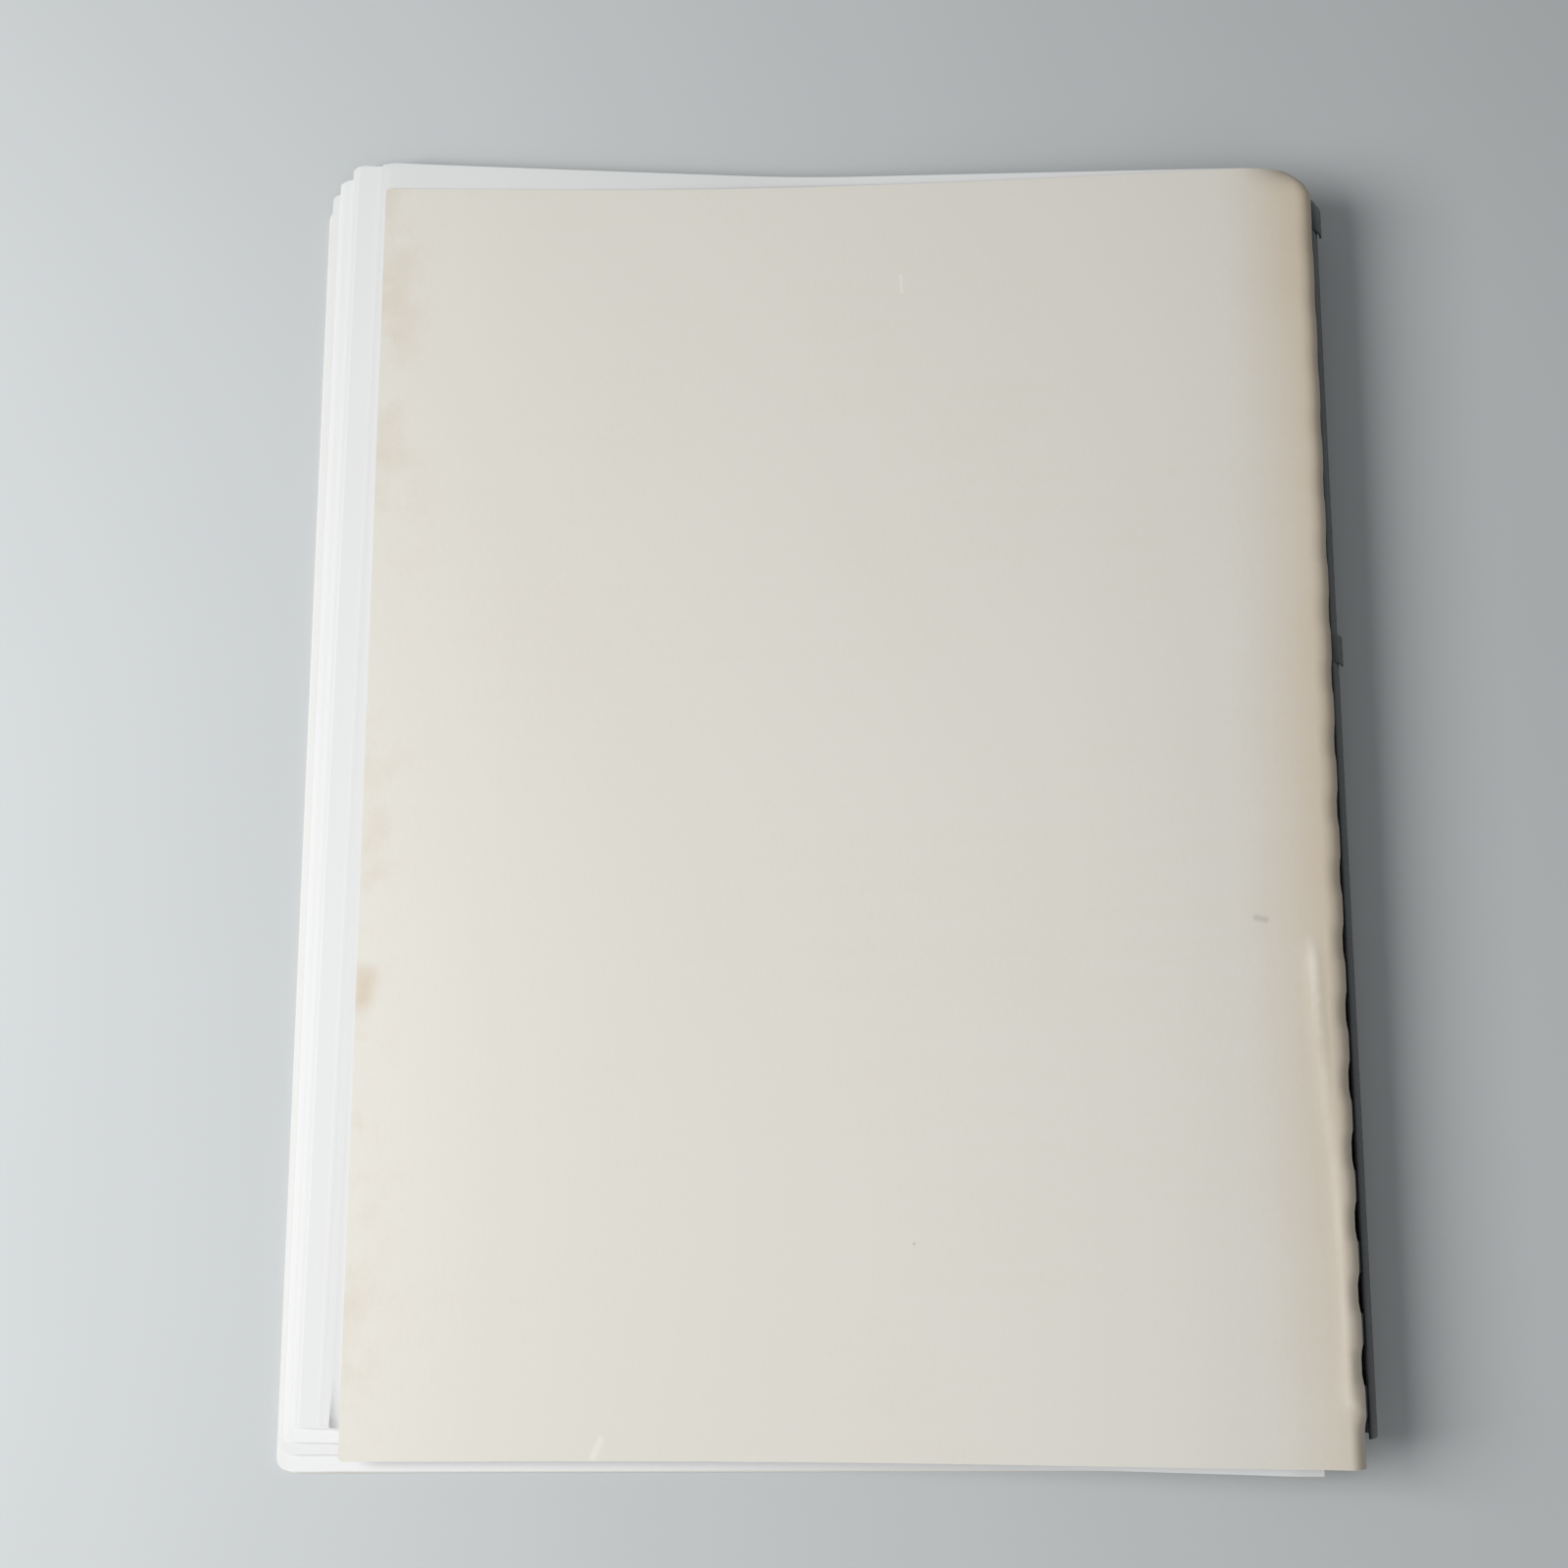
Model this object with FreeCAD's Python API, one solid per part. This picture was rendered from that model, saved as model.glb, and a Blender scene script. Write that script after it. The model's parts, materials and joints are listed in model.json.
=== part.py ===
"""Comb-bound book lying on its front cover, with its back cover up.

A moulded comb holds the sheets: its curled fingers pass through a row of slots near
each sheet's bound edge.  Millimetres, +X from the fore edge to the comb, +Y along the
comb, +Z up.  The origin is on the underside of the front cover.
"""
import FreeCAD, Part
import math
import os

# Sheets
SHEET_WIDTH = 215.9       # bound edge to fore edge, measured along the sheet
SHEET_LENGTH = 279.4      # along the comb
CARD_THICK = 0.30         # covers
LEAF_THICK = 0.10
LEAF_GAP = 0.06           # air between two leaves of one packet in the bed
PACKET_GAP = 0.25         # air between two packets, or a packet and a cover, in the bed
LEAVES_PER_PACKET = 5

# Comb
PITCH = 14.2875           # finger to finger, nine sixteenths of an inch
FINGER_COUNT = 19
FINGER_WIDTH = 6.3
COMB_RADIUS = 8.0         # outside of the curl
COMB_WALL = 0.5
SPINE_HALF_ANGLE = 30.0   # the spine strip faces +X
TIP_ANGLE = 16.0          # where a finger ends
SPIRAL_ANGLE = 80.0       # where a finger starts to leave the curl's circle
TUCK = 1.70               # shift of the tip's arc, which tucks the tip inside the spine
POPPED_FINGERS = (0, 7)   # counted from +Y: these tips lie outside the spine
HEAD_TAIL = 0.9           # spine past the first finger, at +Y
FOOT_TAIL = 4.2           # spine past the last finger, at -Y
TABLE_CLEARANCE = 0.2     # under a popped tip when the comb rolls

# Punched slots
SLOT_SIDE_PLAY = 0.85     # on each side of a finger
SLOT_DEPTH = 3.0          # along the sheet
SLOT_MARGIN = 2.9         # from a slot to the sheet's bound edge
SLOT_CUTTER = 1.0         # half height of the punch, square to the sheet

# Way of the sheets from the bed to the comb
COMB_X = 104.0            # the comb's axis, from the origin
ANGLE_STEP = 2.5          # leaf to leaf round the curl, in degrees
BED_TRIM = 14.0           # tangent length of the bend where a sheet leaves the bed
FOLD_TRIM = 3.4           # longest tangent length of the bend at the comb
FOLD_SHARE = 0.8          # largest part of the last run that the bend takes
FRONT_RISE = 31.0         # the front cover leaves the bed this far before the curl
BACK_RISE = 104.0         # the same for the back cover

# Slot angle round the curl, heading into the curl, last run from the fold to the slot, what
# each leaf above adds to that run, and shift along the comb, of the lowest sheet of each packet
FRONT_COVER = (190.0, 5.0, 2.2, 0.0, -4.6)
PACKETS = (
    (183.0, 3.0, 2.2, 0.0, -4.2),
    (162.0, -3.0, 2.2, 0.0, -0.7),
    (140.0, -12.0, 2.4, 0.0, 1.9),
    (118.0, -25.0, 1.6, 0.15, 4.9),
    (76.0, -74.0, 1.9, 0.34, 5.1),
)
BACK_COVER = (58.0, -76.0, 4.4, 0.0, -1.5)

# Derived sizes
MID_RADIUS = COMB_RADIUS - COMB_WALL / 2
TIP_REACH = TUCK * (1 - math.cos(math.radians(SPIRAL_ANGLE - TIP_ANGLE)))
COMB_Z = COMB_RADIUS + TIP_REACH + TABLE_CLEARANCE
SLOT_WIDTH = FINGER_WIDTH + 2 * SLOT_SIDE_PLAY
EDGE_RUN = SLOT_DEPTH / 2 + SLOT_MARGIN
COMB_SPAN = PITCH * (FINGER_COUNT - 1)
LEAF_COUNT = LEAVES_PER_PACKET * len(PACKETS)
AXIS = FreeCAD.Vector(COMB_X, 0, COMB_Z)
ALONG = FreeCAD.Vector(0, 1, 0)


def ray(degrees):
    """Unit vector in the XZ plane, from +X towards +Z."""
    angle = math.radians(degrees)
    return FreeCAD.Vector(math.cos(angle), 0, math.sin(angle))


def left_of(direction):
    """The direction turned a quarter turn from +X towards +Z."""
    return FreeCAD.Vector(-direction.z, 0, direction.x)


def finger_y(index):
    """Middle of a finger, counted from +Y."""
    return COMB_SPAN / 2 - PITCH * index


def extrude(edges, start_y, length):
    """Closed outline in the plane y = 0, moved to start_y and given a length along the comb."""
    face = Part.Face(Part.Wire(edges))
    face.translate(ALONG * start_y)
    return face.extrude(ALONG * length)


def arc_between(centre, radius, first, last):
    """Edge of a circle in the XZ plane between two angles."""
    middle = (first + last) / 2
    points = [centre + ray(angle) * radius for angle in (first, middle, last)]
    return Part.Arc(*points).toShape()


def line_between(first, last):
    return Part.LineSegment(first, last).toShape()


def finger(index, shift):
    """One curled finger: round the curl from the spine's lower edge, then a shifted arc to its tip."""
    root = 360.0 - SPINE_HALF_ANGLE
    inner = COMB_RADIUS - COMB_WALL
    centre = AXIS + ray(SPIRAL_ANGLE) * shift
    edges = [
        arc_between(AXIS, COMB_RADIUS, root, SPIRAL_ANGLE),
        arc_between(centre, COMB_RADIUS - shift, SPIRAL_ANGLE, TIP_ANGLE),
        line_between(centre + ray(TIP_ANGLE) * (COMB_RADIUS - shift), centre + ray(TIP_ANGLE) * (inner - shift)),
        arc_between(centre, inner - shift, TIP_ANGLE, SPIRAL_ANGLE),
        arc_between(AXIS, inner, SPIRAL_ANGLE, root),
        line_between(AXIS + ray(root) * inner, AXIS + ray(root) * COMB_RADIUS),
    ]
    return extrude(edges, finger_y(index) - FINGER_WIDTH / 2, FINGER_WIDTH)


def comb():
    """Spine strip with its fingers, one moulded piece."""
    low, high = -SPINE_HALF_ANGLE, SPINE_HALF_ANGLE
    inner = COMB_RADIUS - COMB_WALL
    edges = [
        arc_between(AXIS, COMB_RADIUS, low, high),
        line_between(AXIS + ray(high) * COMB_RADIUS, AXIS + ray(high) * inner),
        arc_between(AXIS, inner, high, low),
        line_between(AXIS + ray(low) * inner, AXIS + ray(low) * COMB_RADIUS),
    ]
    foot = -COMB_SPAN / 2 - FINGER_WIDTH / 2 - FOOT_TAIL
    head = COMB_SPAN / 2 + FINGER_WIDTH / 2 + HEAD_TAIL
    spine = extrude(edges, foot, head - foot)
    fingers = [finger(i, -TUCK if i in POPPED_FINGERS else TUCK) for i in range(FINGER_COUNT)]
    return spine.multiFuse(fingers).removeSplitter()


class SheetWay:
    """Middle line of a sheet: along the bed, up to the fold beside the comb and into the curl."""

    def __init__(self, angle, heading, last_run, bed_z, rise):
        self.heading = ray(heading)
        self.slot = AXIS + ray(angle) * MID_RADIUS
        end = self.slot + self.heading * EDGE_RUN
        bend = FreeCAD.Vector(COMB_X - COMB_RADIUS - rise, 0, bed_z)
        fold = self.slot - self.heading * last_run
        climb = (fold - bend).normalize()
        fold_trim = min(FOLD_TRIM, FOLD_SHARE * last_run)
        level = FreeCAD.Vector(1, 0, 0)
        fold_arc = self.bend_length(climb, self.heading, fold_trim)
        bed_arc = self.bend_length(level, climb, BED_TRIM)
        past_bend = bed_arc + (fold - bend).Length - BED_TRIM - fold_trim
        past_bend += fold_arc + last_run - fold_trim + EDGE_RUN
        start = bend - level * (SHEET_WIDTH - past_bend + BED_TRIM)
        self.corners = [start, bend, fold, end]
        self.directions = [level, climb, self.heading]
        self.trims = [BED_TRIM, fold_trim]

    @staticmethod
    def bend_length(before, after, trim):
        turn = before.getAngle(after)
        return trim / math.tan(turn / 2) * turn

    def side(self, offset):
        """Edges of the line at an offset from the middle line, from the fore edge to the bound edge."""
        edges = []
        here = self.corners[0] + left_of(self.directions[0]) * offset
        for corner, trim, before, after in zip(
                self.corners[1:], self.trims, self.directions, self.directions[1:]):
            turn = before.getAngle(after)
            side = math.copysign(1, left_of(before).dot(after))
            radius = trim / math.tan(turn / 2)
            enter = corner - before * trim
            leave = corner + after * trim
            middle_normal = (left_of(before) + left_of(after)).normalize()
            centre = enter + left_of(before) * (side * radius)
            middle = centre - middle_normal * (side * radius)
            enter = enter + left_of(before) * offset
            middle = middle + middle_normal * offset
            leave = leave + left_of(after) * offset
            edges.append(line_between(here, enter))
            edges.append(Part.Arc(enter, middle, leave).toShape())
            here = leave
        last = self.corners[-1] + left_of(self.directions[-1]) * offset
        edges.append(line_between(here, last))
        return edges, last

    def outline(self, thick):
        upper, upper_end = self.side(thick / 2)
        lower, lower_end = self.side(-thick / 2)
        start = self.corners[0]
        up = left_of(self.directions[0]) * (thick / 2)
        return upper + [line_between(upper_end, lower_end)] + lower[::-1] + [line_between(start - up, start + up)]

    def slots(self):
        """Punches for the slots, square to the sheet where it meets the fingers."""
        along = self.heading * (SLOT_DEPTH / 2)
        square = left_of(self.heading) * SLOT_CUTTER
        corners = [self.slot + along + square, self.slot - along + square,
                   self.slot - along - square, self.slot + along - square]
        edges = [line_between(corners[i - 1], corners[i]) for i in range(4)]
        return [extrude(edges, finger_y(i) - SLOT_WIDTH / 2, SLOT_WIDTH) for i in range(FINGER_COUNT)]


def sheet(way, thick, shift):
    blank = extrude(way.outline(thick), shift - SHEET_LENGTH / 2, SHEET_LENGTH)
    return blank.cut(Part.makeCompound(way.slots()))


def rise_of(level):
    """Length of the climb before the curl, from the front cover, 0, to the back cover, 1."""
    return FRONT_RISE + (BACK_RISE - FRONT_RISE) * level


def sheets():
    """Every sheet from the bottom up, as a name, its way, its thickness and its shift."""
    angle, heading, last_run, _, shift = FRONT_COVER
    way = SheetWay(angle, heading, last_run, CARD_THICK / 2, rise_of(0))
    made = [("front_cover", way, CARD_THICK, shift)]
    top = CARD_THICK
    number = 0
    for angle, heading, last_run, more_run, shift in PACKETS:
        top += PACKET_GAP - LEAF_GAP
        for place in range(LEAVES_PER_PACKET):
            number += 1
            bed_z = top + LEAF_GAP + LEAF_THICK / 2
            top = bed_z + LEAF_THICK / 2
            way = SheetWay(angle - ANGLE_STEP * place, heading, last_run + more_run * place,
                           bed_z, rise_of(number / (LEAF_COUNT + 1)))
            made.append(("leaf_%02d" % number, way, LEAF_THICK, shift))
    angle, heading, last_run, _, shift = BACK_COVER
    bed_z = top + PACKET_GAP + CARD_THICK / 2
    way = SheetWay(angle, heading, last_run, bed_z, rise_of(1))
    made.append(("back_cover", way, CARD_THICK, shift))
    return made


def main():
    os.makedirs("parts", exist_ok=True)
    comb().exportStep("parts/comb.step")
    for name, way, thick, shift in sheets():
        sheet(way, thick, shift).exportStep("parts/%s.step" % name)


main()
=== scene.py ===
import json
import math
import random
from typing import NamedTuple

import bpy
from bpy.props import FloatProperty, FloatVectorProperty, IntProperty, PointerProperty
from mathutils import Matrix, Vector, noise


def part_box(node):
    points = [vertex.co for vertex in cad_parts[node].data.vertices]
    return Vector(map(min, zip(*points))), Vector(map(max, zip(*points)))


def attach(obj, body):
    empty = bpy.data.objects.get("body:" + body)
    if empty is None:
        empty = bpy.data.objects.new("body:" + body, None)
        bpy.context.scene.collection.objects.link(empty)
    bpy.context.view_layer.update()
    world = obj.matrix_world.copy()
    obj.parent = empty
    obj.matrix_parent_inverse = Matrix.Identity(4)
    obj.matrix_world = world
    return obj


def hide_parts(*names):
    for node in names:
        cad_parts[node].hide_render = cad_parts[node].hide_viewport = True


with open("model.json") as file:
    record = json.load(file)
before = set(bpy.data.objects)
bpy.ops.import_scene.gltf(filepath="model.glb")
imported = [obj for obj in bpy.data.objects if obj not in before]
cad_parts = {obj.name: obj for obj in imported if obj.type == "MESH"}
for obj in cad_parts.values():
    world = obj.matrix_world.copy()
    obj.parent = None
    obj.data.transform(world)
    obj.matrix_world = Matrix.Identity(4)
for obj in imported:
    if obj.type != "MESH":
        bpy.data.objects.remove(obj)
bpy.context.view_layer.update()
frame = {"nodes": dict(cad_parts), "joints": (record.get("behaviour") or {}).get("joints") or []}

bl_info = {
    "name": "Comb-bound book",
    "version": (1, 0, 0),
    "blender": (4, 5, 0),
    "location": "View3D > Sidebar > Book",
    "description": "Dresses a comb-bound book: card covers, paper leaves and a moulded comb",
    "category": "Object",
}

# From the frame: the axis that all hinges share, and the leaves from the bottom up
AXIS = Vector(frame["joints"][0]["pos_m"])
LEAVES = sorted(name for name in frame["nodes"] if name.startswith("leaf_"))


class Way(NamedTuple):
    """How a sheet enters the comb, and how it lies: degrees and metres."""
    slot_angle: float        # round the curl
    heading: float           # direction into the curl
    last_run: float          # from the fold's corner to the slots
    more_run: float = 0.0    # what each leaf above adds to that run
    tilt: float = 0.0        # turn of the fore edge in the sheet's plane, as a slope
    skew: float = 0.0        # how far the ends of the bound edge are moved down the comb
    bed_trim: float = 0.014  # tangent length of the bend at the climb's foot
    corner: float = 0.001    # rounding of the worn fore corners
    # Between the packets, white is painted shade: lit and shaded copies of one paper
    white: float = 1.0       # brightness of the paper or card


class CreasePoint(NamedTuple):
    """A place on the worn crease, in plan, and how strong the crease and its painted highlight are there.
    """
    x: float
    y: float
    strength: float


class Mark(NamedTuple):
    """A straight mark on the card, in plan: its ends, its radius and its weight."""
    first: tuple
    last: tuple
    radius: float
    weight: float


class Surface(NamedTuple):
    """How a material takes light: its roughness, what its grain adds to that, its shine and its bumps."""
    roughness: float
    grain: float
    specular: float
    bump: float
    depth: float


# The first four values of each way are those of the solids
COVERS = {
    "front_cover": Way(190.0, 5.0, 0.0022, corner=0.0034, white=1.12),
    "back_cover": Way(58.0, -76.0, 0.0044, bed_trim=0.055, corner=0.0007),
}
# The packets' white values are painted shade, darkest on the uppermost packet, which sets the packets
# apart
PACKETS = {
    "packet_a": Way(183.0, 3.0, 0.0022, corner=0.0034, white=1.02),
    "packet_b": Way(162.0, -3.0, 0.0022, tilt=0.002, corner=0.0026, white=0.98),
    "packet_c": Way(140.0, -12.0, 0.0024, tilt=0.004, skew=0.003, corner=0.0018, white=1.02),
    "packet_d": Way(118.0, -25.0, 0.0016, 0.00015, tilt=0.007, skew=0.0062, corner=0.0010, white=0.97),
    "packet_e": Way(76.0, -74.0, 0.0019, 0.00034, tilt=0.0105, skew=0.0068, corner=0.0006, white=0.92),
}
LEAVES_PER_PACKET = len(LEAVES) // len(PACKETS)

# Columns of a sheet's grid, from the fore edge to the bound edge
BED_COLUMNS = 14
BEND_COLUMNS = 6
BACK_COLUMNS = (34, 12)     # climb and fold of the back cover
PLAIN_COLUMNS = (8, 6)      # climb and fold of the other sheets
FORE_PACKING = 2.2          # power that draws columns to the fore edge
FOLD_PACKING = 1.6          # power that draws columns to the fold
COLUMN_CLEARANCE = 0.125    # of half a slot, between a slot's edge and the next column

# Rows of a sheet's grid: offsets from each finger's middle, and steps from the last of them to an end
BACK_ROWS = (-0.0071, -0.0055, -0.004, -0.0032, -0.0018, 0.0, 0.0018, 0.0032, 0.004, 0.0055)
PLAIN_ROWS = (-0.0071, -0.004, 0.0, 0.004)
BACK_END_ROWS = 10
PLAIN_END_ROWS = 12
ROW_CLEARANCE = 0.0005      # from a finger's rows to a sheet's end
SHEET_CREASE_ANGLE = 50.0   # edges sharper than this stay sharp, in degrees

# Worn fore edges
CORNER_REACH = 0.02         # from the fore edge to where a corner's round dies out
CORNER_SPREAD = (0.7, 1.0)  # smallest and largest corner of a leaf, as shares of its packet's
UNEVEN_SHARE = 0.125        # of the width, to where an uneven fore edge dies out
CHANCE_SEED = 11

# Crease across the uppermost leaf's lower fore corner, and how steeply the corner curls up
CURL_WIDTH = 0.0027
CURL_LENGTH = 0.0078
CURL_SLOPE = 0.6

# Soft waves: hills per metre across and along, place in the noise, and how they end before the fold
WAVES_ACROSS = 13.0
WAVES_ALONG = 10.0
WAVE_SLICE = 2.7
WAVE_STOP = 0.002
WAVE_FADE = 0.03

# Droop of the sheets' corners past the comb's head
DROOP_REACH = 0.0065        # past the first finger, to where the fall is the setting's
DROOP_START = 0.0105        # before the fold
DROOP_RUN = 0.015           # from its start to where it no longer grows towards the bound edge
DROOP_POWER = 1.6
LOWEST_DROOP = 0.25         # of the uppermost sheet's fall
DRAW_IN = 0.8               # towards the fore edge, as a share of the fall

# Skew of the leaves' ends, which starts this far past the middle of the first and last finger
SKEW_START = 0.0048

# Bumps of the back cover over the fingers
FINGER_REACH = 0.0052       # from a finger's middle to the full sag
FINGER_BLEND = 0.0026       # from the full sag to none
LEAN_RUN = 0.004            # from the fold's start to the full lean

# Worn crease of the back cover beside the comb, from its upper end to the bound edge; each strength sets
# both the crease's height and its painted highlight
CREASE = (
    CreasePoint(0.1002, -0.033, 1.0),
    CreasePoint(0.1014, -0.055, 0.9),
    CreasePoint(0.1029, -0.083, 0.3),
    CreasePoint(0.1038, -0.112, 0.4),
    CreasePoint(0.1040, -0.128, 1.0),
    CreasePoint(0.1082, -0.1312, 1.0),
)
CREASE_WIDTH = 0.0014       # from its crest to where about a third is left
CREASE_FADE = 0.008         # at its upper end
CREASE_STOP = 0.003         # before the fold's end
# The pale stripe along the crease is wear and a painted highlight
WORN_AND_HIGHLIGHT_RADIUS = 0.0017        # of the pale stripe along it

# Tan near the comb: partly the card's real tan, partly painted shade where the cover's shoulder turns
# away from the light; it grows from the foot to the head
TAN_AND_SHADE_START = AXIS.x - 0.014
TAN_AND_SHADE_END = AXIS.x + 0.013
TAN_AND_SHADE_RAGGED = 0.010
TAN_AND_SHADE_MIDDLE = 0.90
TAN_AND_SHADE_PER_METRE = 1.2

# Stains along the card's fore edge, and what they and the card's grain add to its ageing
STAIN_START = -0.1005
STAIN_END = -0.084
STAIN_PATCHES = (0.42, 0.72)
STAIN_WEIGHT = 0.40
CLOUD_WEIGHT = 0.20
FIBRE_WEIGHT = 0.22
ROLLED_WEIGHT = 0.10
NOISE_MIDDLE = 0.5

# Marks on the card, the painted light between the crease and the comb, and how the crease's wear and
# painted highlight show
BLOT = Mark((-0.099, -0.047), (-0.0985, -0.042), 0.004, 0.45)
NICKS = (
    Mark((0.017, 0.116), (0.0172, 0.112), 0.0006, 0.35),
    Mark((-0.0485, -0.1405), (-0.047, -0.137), 0.0012, 0.35),
)
SPECKS = (
    Mark((0.0895, -0.0305), (0.0915, -0.031), 0.0011, 0.40),
    Mark((0.0176, -0.0976), (0.0176, -0.0976), 0.0005, 0.60),
)
# Painted light: a paler stretch on the crease's flank by the comb, which turns from the key light
FLANK_LIGHT = Mark((0.1040, -0.060), (0.1062, -0.128), 0.0034, 0.60)
FLANK_LIGHT_FADE = (0.045, 0.100)    # down the comb from its middle
# Patches and weight of the crease's pale stripe, which is wear and a painted highlight
WORN_AND_HIGHLIGHT_PATCHES = (0.25, 0.65)
WORN_AND_HIGHLIGHT_WEIGHT = 0.6
WORN_SHINE = 0.1

# Handled fore edge of the leaves, and clouds in the paper
HANDLED_START = -0.1135
HANDLED_END = -0.108
HANDLED_RAGGED = 0.004
HANDLED_WEIGHT = 0.45
PAPER_CLOUD_MIDDLE = 0.45
PAPER_CLOUD_WEIGHT = 0.35

# Dust on the comb
DUST_PATCHES = (0.45, 0.8)
DUST_WEIGHT = 0.35
DUST_ROUGHNESS = 0.3

# Surfaces
CARD = Surface(roughness=0.42, grain=0.14, specular=0.52, bump=0.32, depth=0.00014)
PAPER = Surface(roughness=0.70, grain=0.12, specular=0.3, bump=0.15, depth=0.00006)
PLASTIC = Surface(roughness=0.24, grain=0.06, specular=0.55, bump=0.12, depth=0.00004)
CARD_FIBRE_SHARE = 0.6      # of the card's bumps
CARD_RELIEF_SHARE = 0.4

# Sockets of the Mix node that carry colours and their factor
MIX_FACTOR = 0
MIX_FIRST = 6
MIX_SECOND = 7
MIX_RESULT = 2

# Comb: clean-up of the copied solid, bevels and the lip's grid, in metres and degrees
MERGE_DISTANCE = 0.000002
FLAT_ANGLE = 0.5
BEVEL_ANGLE = 40.0
BEVEL_SEGMENTS = 2
COMB_CREASE_ANGLE = 35.0
LIP_GRID = (10, 40)

# Stage
FLOOR_SIZE = 6.0
FLOOR_DROP = 0.0002         # below the book
FLOOR_CLOUD = 1.06          # brightness of the paler patches
FLOOR_ROUGHNESS = 0.9
CAMERA_SENSOR = 36.0        # width in millimetres
CAMERA_NEAR = 0.01


class Wire:
    """A shader socket that adds Math nodes when it is used in an expression."""

    def __init__(self, finish, socket):
        self.finish = finish
        self.socket = socket

    def math(self, operation, *values):
        return self.finish.node("ShaderNodeMath", {"operation": operation}, dict(enumerate(values)))

    def __add__(self, other):
        return self.math("ADD", self, other)

    def __radd__(self, other):
        return self.math("ADD", other, self)

    def __sub__(self, other):
        return self.math("SUBTRACT", self, other)

    def __rsub__(self, other):
        return self.math("SUBTRACT", other, self)

    def __mul__(self, other):
        return self.math("MULTIPLY", self, other)

    def __rmul__(self, other):
        return self.math("MULTIPLY", other, self)

    def clipped(self):
        return self.math("MINIMUM", self.math("MAXIMUM", self, 0.0), 1.0)

    def root(self):
        return self.math("SQRT", self)

    def largest(self, other):
        return self.math("MAXIMUM", self, other)


class Finish:
    """A material with one Principled shader, built node by node."""

    def __init__(self, name):
        self.material = bpy.data.materials.new(name)
        self.material.use_nodes = True
        self.tree = self.material.node_tree
        self.shader = self.tree.nodes["Principled BSDF"]
        self.place = Wire(self, self.tree.nodes.new("ShaderNodeTexCoord").outputs["Object"])

    def node(self, kind, settings, inputs, output=0):
        """Adds a node, sets it up, feeds its sockets and returns one output as a Wire."""
        made = self.tree.nodes.new(kind)
        for name, value in settings.items():
            setattr(made, name, value)
        for socket, value in inputs.items():
            self.join(made.inputs[socket], value)
        return Wire(self, made.outputs[output])

    def join(self, socket, value):
        """Links a Wire to a socket, or sets the socket to a plain value."""
        if isinstance(value, Wire):
            self.tree.links.new(value.socket, socket)
        else:
            socket.default_value = value

    def noise(self, scale, detail, roughness, stretch=(1.0, 1.0, 1.0)):
        place = self.node("ShaderNodeMapping", {}, {"Vector": self.place, "Scale": stretch})
        return self.node("ShaderNodeTexNoise", {}, {
            "Vector": place, "Scale": scale, "Detail": detail, "Roughness": roughness})

    def along(self, axis):
        """One Object coordinate, in metres."""
        return self.node("ShaderNodeSeparateXYZ", {}, {"Vector": self.place}, axis)

    def ramp(self, value, low, high):
        """0 below low, 1 above high, smooth between."""
        return self.node("ShaderNodeMapRange", {"interpolation_type": "SMOOTHSTEP"}, {
            "Value": value, "From Min": low, "From Max": high, "To Min": 0.0, "To Max": 1.0})

    def streak(self, first, last, radius):
        """1 on a straight stretch of the sheet's plan, 0 from radius on; a spot where both ends meet."""
        run = Vector(last) - Vector(first)
        across = self.along("X") - first[0]
        down = self.along("Y") - first[1]
        if run.length:
            share = ((across * run.x + down * run.y) * (1.0 / run.length_squared)).clipped()
            across = across - share * run.x
            down = down - share * run.y
        return 1.0 - self.ramp((across * across + down * down).root(), 0.0, radius)

    def marks(self, *marks):
        """Sum of straight marks, each by its weight."""
        total = 0.0
        for mark in marks:
            total = total + mark.weight * self.streak(mark.first, mark.last, mark.radius)
        return total

    def mix(self, factor, first, second):
        return self.node("ShaderNodeMix", {"data_type": "RGBA"}, {
            MIX_FACTOR: factor, MIX_FIRST: first, MIX_SECOND: second}, MIX_RESULT)

    def bump(self, height, surface):
        return self.node("ShaderNodeBump", {}, {
            "Height": height, "Strength": surface.bump, "Distance": surface.depth})

    def feed(self, **inputs):
        """Feeds the shader's sockets, named with underscores for spaces, and returns the material."""
        for name, value in inputs.items():
            self.join(self.shader.inputs[name.replace("_", " ")], value)
        return self.material


class SheetSettings(bpy.types.PropertyGroup):
    """Sizes that all sheets share."""
    width: FloatProperty(
        name="Width", description="From the fore edge to the bound edge", unit="LENGTH",
        default=0.2159)
    edge_run: FloatProperty(
        name="Edge run", description="From the slots' middle to the bound edge", unit="LENGTH",
        default=0.0044)
    fold_trim: FloatProperty(
        name="Fold trim", description="Longest tangent length of the fold", unit="LENGTH",
        default=0.0034)
    fold_share: FloatProperty(
        name="Fold share", description="Largest part of the last run that the fold takes",
        default=0.8)
    low_rise: FloatProperty(
        name="Low rise", description="Climb of the front cover before the curl", unit="LENGTH",
        default=0.031)
    high_rise: FloatProperty(
        name="High rise", description="Climb of the back cover before the curl", unit="LENGTH",
        default=0.104)
    angle_step: FloatProperty(
        name="Angle step", description="Leaf to leaf round the curl", subtype="ANGLE",
        default=math.radians(2.5))
    slot_depth: FloatProperty(
        name="Slot depth", description="Along the sheet", unit="LENGTH", default=0.003)
    slot_width: FloatProperty(
        name="Slot width", description="Along the comb", unit="LENGTH", default=0.008)
    wave: FloatProperty(
        name="Wave", description="Height of the uppermost sheet's soft waves", unit="LENGTH",
        default=0.0007)
    droop: FloatProperty(
        name="Droop", description="Fall of the uppermost sheet's corner past the comb's head",
        unit="LENGTH", default=0.0046)


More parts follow.
